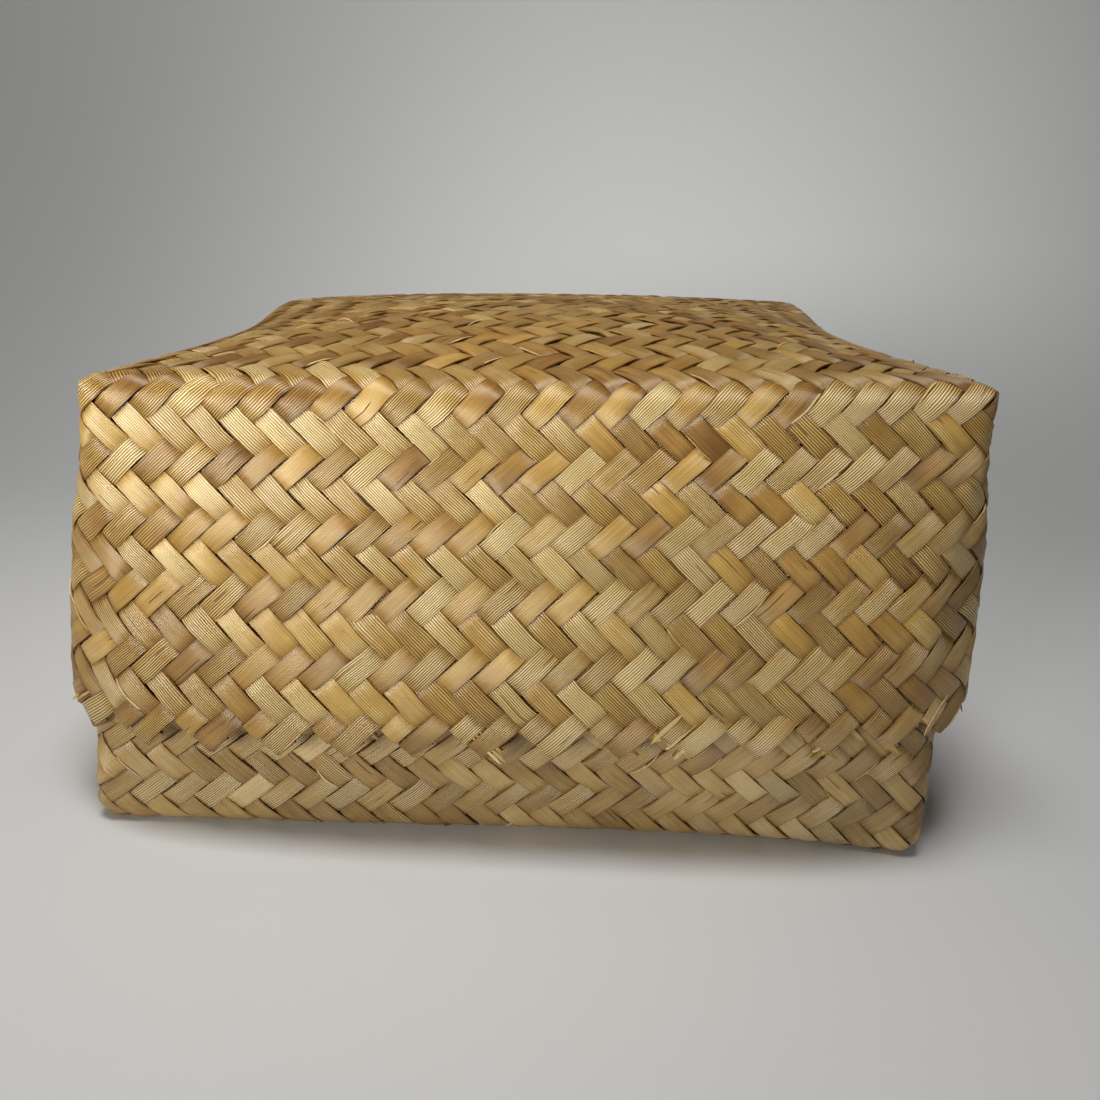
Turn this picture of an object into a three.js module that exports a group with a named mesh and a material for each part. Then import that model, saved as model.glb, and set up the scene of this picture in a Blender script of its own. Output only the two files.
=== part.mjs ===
// Plaited bamboo box: a base tray and a deeper-walled lid that pulls down over it.
// Both shells are diagonal weave, modelled face by face with the folded-back strip
// ends of each rim as their own pieces. Millimetres, X across the front, Y to the
// back, Z up, with the origin on the ground below the middle of the box.
import * as THREE from 'three';

// Driving sizes of the lid
const lidWidth = 312;
const lidDepth = 240;
const lidWallReach = 132;
const closedHeight = 182;

// Driving sizes of the weave
const toothWidth = 24;
const toothDepth = 12;
const edgeRadius = 7;
const weaveThickness = 1.6;
const foldThickness = 0.8;
const foldBand = 24;
const foldBandEnd = 18;
const foldInset = 1;

// Clearances
const lidClearance = 2.3;
const seatGap = 0.35;
const seamGap = 0.3;
const foldGap = 0.3;

// Hand-made shape of the lid, from the top crease down to the rim
const topPinch = 22.1;
const pinchDepth = 95;
const backCornerPress = 17;
const pressDepth = 60;
const crown = 9.8;
const frontEdgeSag = 5.8;
const backEdgeRise = 3.5;
const leftEdgeSag = 2.8;
const rightEdgeSag = 5.6;
const frontCornerDrop = 2.6;
const crownFade = 70;
const lidRimFlare = 3.6;
const lidFrontBelly = 9.2;
const lidFrontBellyAtRim = 14;
const lidSideBelly = 18;
const lidSideBellyAtRim = 14;
const bellyDepth = 60;
const lidCornerPeak = 0.2;
const lidRimCornerRadius = 24;
const lidCornerDepth = 100;
const lean = 0.054;

// Hand-made shape of the base, from the floor up to its rim
const footFlare = 8.8;
const footFlareHeight = 85;
const footCornerPeak = -0.3;
const footCornerLift = 3;
const footCornerHeight = 30;
const footEdgeHeight = 3;
const baseFrontTuck = -7.5;
const baseFrontBelly = 7;
const baseSideTuck = -5;
const baseSideBelly = 8;
const baseBellyFrom = 60;
const baseBellyTo = 115;
const baseCornerRadius = 12;
const baseCornerHeights = [50, 80, 170];

// Mesh steps
const wallRows = 4;
const normalStep = 0.02;

// Half of a rounded edge, measured over the weave
const halfEdge = Math.PI * edgeRadius / 4;
const edgeExcess = edgeRadius - halfEdge;
const lidHalfX = lidWidth / 2 + edgeExcess;
const lidHalfY = lidDepth / 2 + edgeExcess;

// The base stands inside the lid, and its rim carries the rounded inside of the lid's top edge
const wallSpacing = lidClearance + weaveThickness;
const insideRadius = edgeRadius - weaveThickness / 2;
const seatReach = edgeRadius - wallSpacing + weaveThickness / 2;
const seatDrop = edgeRadius - Math.sqrt(insideRadius ** 2 - seatReach ** 2);
const baseRimHeight = closedHeight - seatDrop - seatGap;

const wallTurns = { front: 0, right: Math.PI / 2, back: Math.PI, left: -Math.PI / 2 };

function smooth(t) {
  const u = THREE.MathUtils.clamp(t, 0, 1);
  return u * u * (3 - 2 * u);
}

// Value at a depth, eased between [depth, value] pairs
function eased(pairs, depth) {
  let value = pairs[0][1];
  for (let i = 1; i < pairs.length; i += 1) {
    const [fromDepth, fromValue] = pairs[i - 1];
    const [toDepth, toValue] = pairs[i];
    if (depth >= fromDepth) {
      value = fromValue + (toValue - fromValue) * smooth((depth - fromDepth) / (toDepth - fromDepth));
    }
  }
  return value;
}

const lid = {
  name: 'lid',
  halfWidth: lidWidth / 2,
  halfDepth: lidDepth / 2,
  reach: lidWallReach,
  heightAt: (depth) => closedHeight - depth,
  leanAt: () => lean,
  flare: [[0, 0], [lidWallReach / 2, 0], [lidWallReach, lidRimFlare]],
  frontBelly: [[0, 0], [bellyDepth, lidFrontBelly], [lidWallReach, lidFrontBellyAtRim]],
  sideBelly: [[0, 0], [bellyDepth, lidSideBelly], [lidWallReach, lidSideBellyAtRim]],
  cornerRadius: [[edgeRadius, edgeRadius], [lidCornerDepth, lidRimCornerRadius]],
  cornerPeak: lidCornerPeak,
  cornerLiftAt: () => 0,
};

const base = {
  name: 'base',
  halfWidth: lidWidth / 2 - wallSpacing,
  halfDepth: lidDepth / 2 - wallSpacing,
  reach: baseRimHeight - weaveThickness / 2 - edgeExcess,
  heightAt: (depth) => weaveThickness / 2 + depth,
  leanAt: (height) => lean * (height - weaveThickness / 2) / (baseRimHeight - weaveThickness / 2),
  flare: [[closedHeight - footFlareHeight, 0], [closedHeight, footFlare]],
  frontBelly: [
    [closedHeight - baseRimHeight, 0],
    [closedHeight - baseBellyTo, baseFrontBelly],
    [closedHeight - baseBellyFrom, baseFrontBelly],
    [closedHeight, baseFrontTuck],
  ],
  sideBelly: [
    [closedHeight - baseRimHeight, 0],
    [closedHeight - baseBellyTo, baseSideBelly],
    [closedHeight - baseBellyFrom, baseSideBelly],
    [closedHeight, baseSideTuck],
  ],
  cornerRadius: [
    [edgeRadius, edgeRadius],
    [baseCornerHeights[0], baseCornerRadius],
    [baseCornerHeights[1], baseCornerRadius],
    [baseCornerHeights[2], edgeRadius],
  ],
  cornerPeak: footCornerPeak,
  cornerLiftAt: (height) => footCornerLift * smooth((height - weaveThickness / 2) / footEdgeHeight)
    * smooth(1 - height / footCornerHeight),
};

// Unit direction out of a rounded edge or corner, drawn out, or in for a blunt corner, where
// three faces meet. The product of its parts is largest on the diagonal: its square is 1/27.
function peaked(peak, x, y, z) {
  const n = new THREE.Vector3(x, y, z).normalize();
  const cornerness = (n.x * n.y * n.z) ** 2 / (1 / 27);
  return n.multiplyScalar(1 + peak * cornerness);
}

// Point on a plain rounded box, where s and t run over the weave of one face. The corners
// between the walls open to the shell's own corner radius down the wall.
function onRoundedBox(shell, face, s, t) {
  const over = (v, core, radius) => Math.sign(v) * Math.tan(Math.max(0, Math.abs(v) - core) / radius);
  const within = (v, core) => THREE.MathUtils.clamp(v, -core, core);
  if (face === 'panel') {
    const coreX = shell.halfWidth - halfEdge;
    const coreY = shell.halfDepth - halfEdge;
    const n = peaked(shell.cornerPeak, over(s, coreX, edgeRadius), over(t, coreY, edgeRadius), 1);
    return {
      x: within(s, coreX) + edgeRadius * n.x,
      y: within(t, coreY) + edgeRadius * n.y,
      depth: edgeRadius * (1 - n.z),
    };
  }
  const facesX = face === 'left' || face === 'right';
  const radius = eased(shell.cornerRadius, t);
  const halfArc = Math.PI * radius / 4;
  const alongCore = (facesX ? shell.halfDepth : shell.halfWidth) - halfArc;
  const outCore = (facesX ? shell.halfWidth : shell.halfDepth) - halfArc;
  const up = Math.tan(Math.max(0, halfEdge - t) / edgeRadius);
  const n = peaked(shell.cornerPeak, over(s, alongCore, radius), 1, up);
  const along = within(s, alongCore) + radius * n.x;
  const out = outCore + radius * n.y;
  const turn = wallTurns[face];
  return {
    x: along * Math.cos(turn) + out * Math.sin(turn),
    y: along * Math.sin(turn) - out * Math.cos(turn),
    depth: Math.max(0, t - halfEdge) + edgeRadius * (1 - n.z),
  };
}

// Crown of the top and the uneven rise of its edges and corners, which the base's rim follows
function topRise(across, along, depth) {
  const edgeRise = along < 0 ? -frontEdgeSag : backEdgeRise;
  const sideSag = across < 0 ? leftEdgeSag : rightEdgeSag;
  const cornerDrop = along < 0 ? frontCornerDrop : 0;
  const rise = crown * (1 - across ** 2) * (1 - along ** 2)
    + edgeRise * (1 - across ** 2) * along ** 4
    - sideSag * (1 - along ** 2) * across ** 4
    - cornerDrop * (across * along) ** 4;
  return rise * smooth(1 - depth / crownFade);
}

// Point of the middle of the weave, with the pull-in, bellies, lean and lifted foot corners
// of the hand-made box. The flat of the floor stays flat.
function weavePoint(shell, face, s, t) {
  const plain = onRoundedBox(shell, face, s, t);
  const height = shell.heightAt(plain.depth);
  const depth = closedHeight - height;
  const ownX = plain.x / (shell.halfWidth + edgeExcess);
  const ownY = plain.y / (shell.halfDepth + edgeExcess);
  const across = THREE.MathUtils.clamp(plain.x / lidHalfX, -1, 1);
  const along = THREE.MathUtils.clamp(plain.y / lidHalfY, -1, 1);
  const flare = eased(shell.flare, depth);
  const pinch = topPinch * (1 - smooth(depth / pinchDepth)) * (1 - along ** 2);
  const press = backCornerPress * (1 - smooth(depth / pressDepth)) * Math.max(along, 0) ** 4;
  const sideBelly = eased(shell.sideBelly, depth) * (1 - along ** 6) * (1 + along ** 2) / 2;
  const frontBelly = eased(shell.frontBelly, depth) * (1 - across ** 4);
  return new THREE.Vector3(
    plain.x + ownX * flare + ownX ** 3 * (sideBelly - pinch - press),
    plain.y + ownY * flare + ownY ** 3 * frontBelly,
    height + topRise(across, along, depth) + shell.leanAt(height) * plain.x
      + shell.cornerLiftAt(height) * (across * along) ** 8,
  );
}

// Outward normal of the weave, from short steps that stay inside the face
function weaveNormal(shell, face, s, t) {
  const ds = s > 0 ? -normalStep : normalStep;
  const dt = face === 'panel' && t > 0 ? -normalStep : normalStep;
  const here = weavePoint(shell, face, s, t);
  const alongS = weavePoint(shell, face, s + ds, t).sub(here).multiplyScalar(1 / ds);
  const alongT = weavePoint(shell, face, s, t + dt).sub(here).multiplyScalar(1 / dt);
  const normal = alongS.cross(alongT).normalize();
  const outwards = face === 'panel'
    ? new THREE.Vector3(0, 0, shell === lid ? 1 : -1)
    : new THREE.Vector3(here.x / lidHalfX, here.y / lidHalfY, 0);
  return normal.dot(outwards) < 0 ? normal.negate() : normal;
}

// Closed sheet between an outer and an inner skin. The first rows share their stations, and
// the last row may have one more vertex, a valley, between two neighbouring stations.
function sheetGeometry(skinPoint, stations, rows, lastRow) {
  const positions = [];
  const faces = [];
  const skins = [0, 1].map((skin) => {
    const add = (s, t) => positions.push(...skinPoint(s, t, skin).toArray()) / 3 - 1;
    const grid = rows.map((t) => stations.map((s) => add(s, t)));
    const ends = lastRow ? stations.map((s) => add(s, lastRow(s))) : grid[grid.length - 1];
    const valleys = stations.slice(1).map((s, j) => {
      const middle = (s + stations[j]) / 2;
      const isTooth = lastRow && lastRow(middle) < lastRow(s) - toothDepth / 2;
      return isTooth ? add(middle, lastRow(middle)) : null;
    });
    return { grid: lastRow ? [...grid, ends] : grid, valleys };
  });
  skins.forEach(({ grid, valleys }, skin) => {
    const face = (a, b, c) => faces.push(skin ? [a, c, b] : [a, b, c]);
    for (let i = 0; i + 1 < grid.length; i += 1) {
      for (let j = 0; j + 1 < stations.length; j += 1) {
        const [a, b, c, d] = [grid[i][j], grid[i + 1][j], grid[i + 1][j + 1], grid[i][j + 1]];
        const valley = i + 2 === grid.length ? valleys[j] : null;
        if (valley === null) {
          face(a, b, c);
          face(a, c, d);
        } else {
          face(a, b, valley);
          face(a, valley, d);
          face(d, valley, c);
        }
      }
    }
  });
  const outline = ({ grid, valleys }) => {
    const last = grid.length - 1;
    const end = stations.length - 1;
    const down = grid.slice(0, last).map((row) => row[0]);
    const across = grid[last].slice(0, end).flatMap((v, j) => (valleys[j] === null ? [v] : [v, valleys[j]]));
    const up = grid.slice(1).map((row) => row[end]).reverse();
    const back = grid[0].slice(1).reverse();
    return [...down, ...across, ...up, ...back];
  };
  const [outer, inner] = skins.map(outline);
  outer.forEach((a, k) => {
    const next = (k + 1) % outer.length;
    faces.push([a, inner[k], outer[next]], [inner[k], inner[next], outer[next]]);
  });
  return closedGeometry(positions, faces);
}

// Geometry whose faces all point out of the solid
function closedGeometry(positions, faces) {
  const corner = (index) => new THREE.Vector3().fromArray(positions, index * 3);
  const volume = faces.reduce(
    (sum, [a, b, c]) => sum + corner(a).dot(corner(b).cross(corner(c))) / 6,
    0,
  );
  const index = faces.flatMap(([a, b, c]) => (volume > 0 ? [a, b, c] : [a, c, b]));
  const geometry = new THREE.BufferGeometry();
  geometry.setAttribute('position', new THREE.Float32BufferAttribute(positions, 3));
  geometry.setIndex(index);
  geometry.computeVertexNormals();
  return geometry;
}

// Mesh lines over one face: the rounded edge, then one line at each tooth tip
function edgeLines(half) {
  const end = half - seamGap / 2;
  const teeth = Math.max(2, Math.round(2 * half / toothWidth));
  const tooth = 2 * half / teeth;
  const lines = [-end, -half + halfEdge / 2, -half + halfEdge, -half + tooth / 2];
  for (let i = 1; i < teeth; i += 1) {
    lines.push(-half + i * tooth);
  }
  lines.push(half - tooth / 2, half - halfEdge, half - halfEdge / 2, end);
  return lines;
}

// Depth of the sawtooth rim: tips at the corners and at every tooth, valleys between them
function toothEnd(half, reach, inset) {
  const teeth = Math.max(2, Math.round(2 * half / toothWidth));
  const tooth = 2 * half / teeth;
  return (s) => {
    const phase = (s + half) / tooth;
    const fromTip = 2 * Math.abs(phase - Math.round(phase));
    return reach - inset - toothDepth * fromTip;
  };
}

function halfAlong(shell, face) {
  return face === 'left' || face === 'right' ? shell.halfDepth : shell.halfWidth;
}

// Mesh rows of the band along the rim, the same in a wall and in the fold behind it
function foldRows(shell) {
  return [shell.reach - foldBand, shell.reach - foldBandEnd];
}

function panelGeometry(shell) {
  const point = (s, t, skin) => weavePoint(shell, 'panel', s, t)
    .addScaledVector(weaveNormal(shell, 'panel', s, t), weaveThickness * (0.5 - skin));
  return sheetGeometry(point, edgeLines(shell.halfWidth), edgeLines(shell.halfDepth));
}

function wallGeometry(shell, face) {
  const half = halfAlong(shell, face);
  const [bandTop, bandEnd] = foldRows(shell);
  const rows = [seamGap / 2, halfEdge / 2];
  for (let i = 0; i <= wallRows; i += 1) {
    rows.push(halfEdge + (bandTop - halfEdge) * i / wallRows);
  }
  rows.push(bandEnd);
  const point = (s, t, skin) => weavePoint(shell, face, s, t)
    .addScaledVector(weaveNormal(shell, face, s, t), weaveThickness * (0.5 - skin));
  return sheetGeometry(point, edgeLines(half), rows, toothEnd(half, shell.reach, 0));
}

// The strip ends are folded back inside the rim, one layer thick. The band stops short of the
// rounded corners, where the folded ends of both walls meet.
function foldGeometry(shell, face) {
  const half = halfAlong(shell, face);
  const lines = edgeLines(half).filter((s) => Math.abs(s) <= half - halfEdge);
  const offset = weaveThickness / 2 + foldGap;
  const point = (s, t, skin) => weavePoint(shell, face, s, t)
    .addScaledVector(weaveNormal(shell, face, s, t), -offset - foldThickness * skin);
  return sheetGeometry(point, lines, foldRows(shell), toothEnd(half, shell.reach, foldInset));
}

const lidStrips = new THREE.MeshStandardMaterial({ color: 0xc99d55, roughness: 0.5, metalness: 0 });
const baseStrips = new THREE.MeshStandardMaterial({ color: 0xc8a877, roughness: 0.55, metalness: 0 });
const foldedEnds = new THREE.MeshStandardMaterial({ color: 0xb98e4e, roughness: 0.6, metalness: 0 });

function shellGroup(shell, panelName, strips) {
  const group = new THREE.Group();
  group.name = shell.name;
  const panel = new THREE.Mesh(panelGeometry(shell), strips);
  panel.name = `${shell.name}_${panelName}`;
  group.add(panel);
  for (const face of Object.keys(wallTurns)) {
    const wall = new THREE.Mesh(wallGeometry(shell, face), strips);
    wall.name = `${shell.name}_${face}_wall`;
    const fold = new THREE.Mesh(foldGeometry(shell, face), foldedEnds);
    fold.name = `${shell.name}_${face}_rim_fold`;
    group.add(wall, fold);
  }
  return group;
}

const bambooBox = new THREE.Group();
bambooBox.name = 'bamboo_box';
bambooBox.add(shellGroup(base, 'floor', baseStrips));
bambooBox.add(shellGroup(lid, 'top_panel', lidStrips));

export default bambooBox;
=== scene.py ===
import math

import bpy
import numpy as np
from mathutils import Matrix, Vector


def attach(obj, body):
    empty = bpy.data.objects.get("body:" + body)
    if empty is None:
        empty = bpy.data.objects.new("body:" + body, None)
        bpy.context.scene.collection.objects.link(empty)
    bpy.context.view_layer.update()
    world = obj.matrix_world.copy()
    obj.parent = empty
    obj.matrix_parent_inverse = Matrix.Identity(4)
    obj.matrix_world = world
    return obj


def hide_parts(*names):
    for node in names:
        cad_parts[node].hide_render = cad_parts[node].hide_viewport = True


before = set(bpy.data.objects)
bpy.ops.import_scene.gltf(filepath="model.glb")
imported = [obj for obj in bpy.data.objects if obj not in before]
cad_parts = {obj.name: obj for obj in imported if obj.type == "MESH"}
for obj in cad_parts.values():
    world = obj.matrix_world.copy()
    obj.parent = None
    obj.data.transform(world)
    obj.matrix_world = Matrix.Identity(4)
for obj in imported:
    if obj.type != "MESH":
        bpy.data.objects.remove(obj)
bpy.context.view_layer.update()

# Millimetres to Blender's metres
MM = 0.001

# The lid's plan, wall and the rounded edges of the weave, as in the CAD, in millimetres
LID_WIDTH = 312.0
LID_DEPTH = 240.0
LID_WALL_REACH = 132.0
CLOSED_HEIGHT = 182.0
EDGE_RADIUS = 7.0
WEAVE_THICKNESS = 1.6
LID_CLEARANCE = 2.3
SEAT_GAP = 0.35

# The hand-made shape of the lid, in millimetres, and its lean as a rise per millimetre of width
TOP_PINCH = 22.1
PINCH_DEPTH = 95.0
BACK_CORNER_PRESS = 17.0
PRESS_DEPTH = 60.0
CROWN = 9.8
FRONT_EDGE_SAG = 5.8
BACK_EDGE_RISE = 3.5
LEFT_EDGE_SAG = 2.8
RIGHT_EDGE_SAG = 5.6
FRONT_CORNER_DROP = 2.6
CROWN_FADE = 70.0
LID_RIM_FLARE = 3.6
LID_FRONT_BELLY = 9.2
LID_FRONT_BELLY_AT_RIM = 14.0
LID_SIDE_BELLY = 18.0
LID_SIDE_BELLY_AT_RIM = 14.0
BELLY_DEPTH = 60.0
LID_CORNER_PEAK = 0.2
LID_RIM_CORNER_RADIUS = 24.0
LID_CORNER_DEPTH = 100.0
LEAN = 0.054

# The hand-made shape of the base, in millimetres
FOOT_FLARE = 8.8
FOOT_FLARE_HEIGHT = 85.0
FOOT_CORNER_PEAK = -0.3
FOOT_CORNER_LIFT = 3.0
FOOT_CORNER_HEIGHT = 30.0
FOOT_EDGE_HEIGHT = 3.0
BASE_FRONT_TUCK = -7.5
FOOT_FRONT_BOW = 11.7
FOOT_BOW_RIGHT_PART = 0.4
BASE_FRONT_BELLY = 7.0
BASE_SIDE_TUCK = -5.0
BASE_SIDE_BELLY = 8.0
BASE_BELLY_FROM = 60.0
BASE_BELLY_TO = 115.0
BASE_CORNER_RADIUS = 12.0
BASE_CORNER_HEIGHTS = (50.0, 80.0, 170.0)

# The weave: strips along each side, rows up each wall, and the strip itself in millimetres
STRIPS_WIDE = 26
STRIPS_DEEP = 20
LID_ROWS = 11
BASE_ROWS = 15
STRIP_THICKNESS = 0.5
STRIP_CROWN = 0.22

# A strip's level over the weave's middle, in millimetres, and the parts of its arch
WEAVE_AMPLITUDE = 0.36
FLOAT_ARCH = 0.42
ARCH_AT_CROSSING = 0.6
ARCH_IN_DIVE = 0.25
CROSSING_LEVEL = WEAVE_AMPLITUDE + ARCH_AT_CROSSING * FLOAT_ARCH
DIVE_LENGTH = 0.8

# Stations of a strip's path, as parts of a float, a dive, a fold's half turn and a tucked tail
FLOAT_PARTS = (0.0, 0.5)
DIVE_PARTS = (0.0, 0.2, 0.36, 0.5, 0.64, 0.8)
FOLD_PARTS = (0.2, 0.4, 0.6, 0.8, 1.0)
TAIL_PARTS = (0.2, 0.45, 0.7, 1.0)
FOLD_MARGIN = 0.03
TAIL_ROWS = 1.7
TAIL_LENGTHS = (0.8, 1.1)
TAIL_GAP = 1.1
TAIL_DROP = 0.3

# How strips vary: a range of widths, and the wander from one crossing to the next
STRIP_WIDTHS = (0.9, 0.99)
WIDTH_WANDER = 0.033
SIDE_WANDER = 0.02
TWIST_WANDER = 0.06
FLOAT_TONE_WANDER = 0.055
STRIP_TONE_WANDER = 0.1
STRIP_TONE_KNOTS = 5

# Tone runs from 0, dark, to 1, pale
LID_TONES = (0.36, 0.79)
BASE_TONES = (0.38, 0.8)
# Painted shade darkens the strips where they face up, over the lid's top
TOP_PAINTED_SHADE = 0.3
# Painted shade darkens the strips where they dive between their neighbours
DIVE_PAINTED_SHADE = 0.13
# Painted sheen: strips of each direction of the weave are paler on one half of the box
SIDE_PAINTED_SHEEN = 0.17

# Ribs: how strong they are, and their pitch and depth in millimetres
LID_RIBBING = (0.25, 1.0)
BASE_RIBBING = (0.0, 0.65)
SIDE_RIBBING_SHIFT = 0.15
RIB_PITCHES = (0.7, 0.96)
RIB_DEPTH = 0.32

# Fibres split off the strips: thickness in millimetres, and how far their ends taper
FIBRE_THICKNESS = 0.25
FIBRE_TAPER = 0.75

# Slivers raised off a strip's edge: lengths and places in strips, lifts and widths in millimetres
SPLIT_OFTEN = 0.07
SLIVER_SHIFT = 0.1
SLIVER_HALF_LENGTHS = (0.28, 0.5)
SLIVER_BOWS = (0.0, 0.1)
SLIVER_OVERLAP = 0.02
SLIVER_LIFTS = (0.1, 0.7)
SLIVER_SUNK = 0.05
SLIVER_WIDTHS = (0.3, 0.6)
SLIVER_TONES = (0.75, 1.0)

# Strands frayed off the lid's folds: how often, by the distance from its front right corner
FRAYED_FAR = 0.08
FRAYED_NEAR = 0.75
FRAYED_REACH = 150.0

# A frayed strand: places and lengths in strips, lifts and widths in millimetres
STRAND_COUNTS = (2, 5)
STRAND_PLACES = (-0.42, 0.42)
STRAND_SLANT = 0.03
STRAND_WIDTHS = (0.6, 1.5)
STRAND_TONES = (0.35, 0.95)
LOOPED_OFTEN = 0.6
LOOP_REACHES = (0.1, 0.28)
LOOP_RADII = (0.9, 1.8)
LOOP_STATIONS = 9
LOOP_HEIGHT = 0.2
LOOP_START_ALONG = (-0.6, -0.35, -0.12)
LOOP_START_LIFT = (-0.1, 0.15, LOOP_HEIGHT)
LOOP_END_ALONG = (-0.12, -0.4)
BROKEN_ALONG = np.array([-0.6, -0.4, -0.2, 0.0, 0.1, 0.2, 0.3])
BROKEN_LIFT = np.array([-0.1, 0.15, 0.25, 0.3, 0.4, 0.6, 0.9])
BROKEN_LENGTHS = (0.7, 1.2)
BROKEN_LIFTS = (0.5, 1.5)

# Seeds of the random draws
LID_SEED = 11
BASE_SEED = 23
FIBRE_SEED = 5

# The photograph's camera: focal length in its own pixels, place and sensor in millimetres, and
# pitch, yaw and roll in degrees
IMAGE_SIDE_PX = 1100
CAMERA_FOCAL_PX = 1010.0
CAMERA_PLACE = (-3.2, -459.8, 239.2)
CAMERA_TURNS = (19.39, 1.70, 3.95)
SENSOR_WIDTH = 36.0

# The backdrop, in metres
BACKDROP_COLOUR = (0.755, 0.755, 0.745)
BACKDROP_ROUGHNESS = 0.95
BACKDROP_SPECULAR = 0.1
BACKDROP_FRONT = -3.0
BACKDROP_BACK = 0.3
BACKDROP_BEND = 0.35
BEND_STEPS = 16
BACKDROP_HEIGHT = 2.4
BACKDROP_HALF_WIDTH = 3.0

# Lamps: places and sizes in metres, power in watts, spread in degrees
LAMP_SIZE = (0.4, 0.3)
LAMPS = {
    "key": {
        "place": (-0.4, -0.66, 0.32),
        "target": (-0.13, -0.12, 0.24),
        "power": 0.56,
        "colour": (1.0, 0.99, 0.96),
        "spread": 47,
    },
    "overhead": {
        "place": (-0.1, -0.3, 0.95),
        "target": (-0.05, -0.1, 0.0),
        "power": 5.3,
        "colour": (1.0, 1.0, 1.0),
        "spread": 180,
    },
}
WORLD_COLOUR = (0.95, 0.97, 1.0, 1.0)
WORLD_STRENGTH = 0.05

# What follows from the sizes above, in millimetres and in strips
HALF_EDGE = math.pi * EDGE_RADIUS / 4
EDGE_EXCESS = EDGE_RADIUS - HALF_EDGE
LID_HALF_X = LID_WIDTH / 2 + EDGE_EXCESS
LID_HALF_Y = LID_DEPTH / 2 + EDGE_EXCESS
WALL_SPACING = LID_CLEARANCE + WEAVE_THICKNESS
INSIDE_RADIUS = EDGE_RADIUS - WEAVE_THICKNESS / 2
SEAT_REACH = EDGE_RADIUS - WALL_SPACING + WEAVE_THICKNESS / 2
SEAT_DROP = EDGE_RADIUS - math.sqrt(INSIDE_RADIUS**2 - SEAT_REACH**2)
BASE_RIM_HEIGHT = CLOSED_HEIGHT - SEAT_DROP - SEAT_GAP
HALF_WIDE = STRIPS_WIDE / 2
HALF_DEEP = STRIPS_DEEP / 2
PERIMETER = 2 * (STRIPS_WIDE + STRIPS_DEEP)

# The distance, in millimetres, over which the surface's normal is taken
NORMAL_STEP = 0.02

WALLS = ("front", "right", "back", "left")
WALL_START = {
    "front": 0,
    "right": STRIPS_WIDE,
    "back": STRIPS_WIDE + STRIPS_DEEP,
    "left": 2 * STRIPS_WIDE + STRIPS_DEEP,
}
WALL_TURN = {"front": 0.0, "right": math.pi / 2, "back": math.pi, "left": -math.pi / 2}


def smooth(t):
    u = np.clip(t, 0.0, 1.0)
    return u * u * (3.0 - 2.0 * u)


def eased(pairs, depth):
    """Values at the depths, eased between (depth, value) pairs."""
    value = np.full(np.shape(depth), pairs[0][1], dtype=float)
    for (d0, v0), (d1, v1) in zip(pairs, pairs[1:]):
        value = np.where(depth >= d0, v0 + (v1 - v0) * smooth((depth - d0) / (d1 - d0)), value)
    return value


def ring_place(edge, x, y):
    """Place along the ring of walls, in strips, of a point of the panel unfolded over an edge."""
    along = {
        "front": x + HALF_WIDE,
        "right": y + HALF_DEEP,
        "back": HALF_WIDE - x,
        "left": HALF_DEEP - y,
    }[edge]
    return (WALL_START[edge] + along) % PERIMETER


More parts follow.
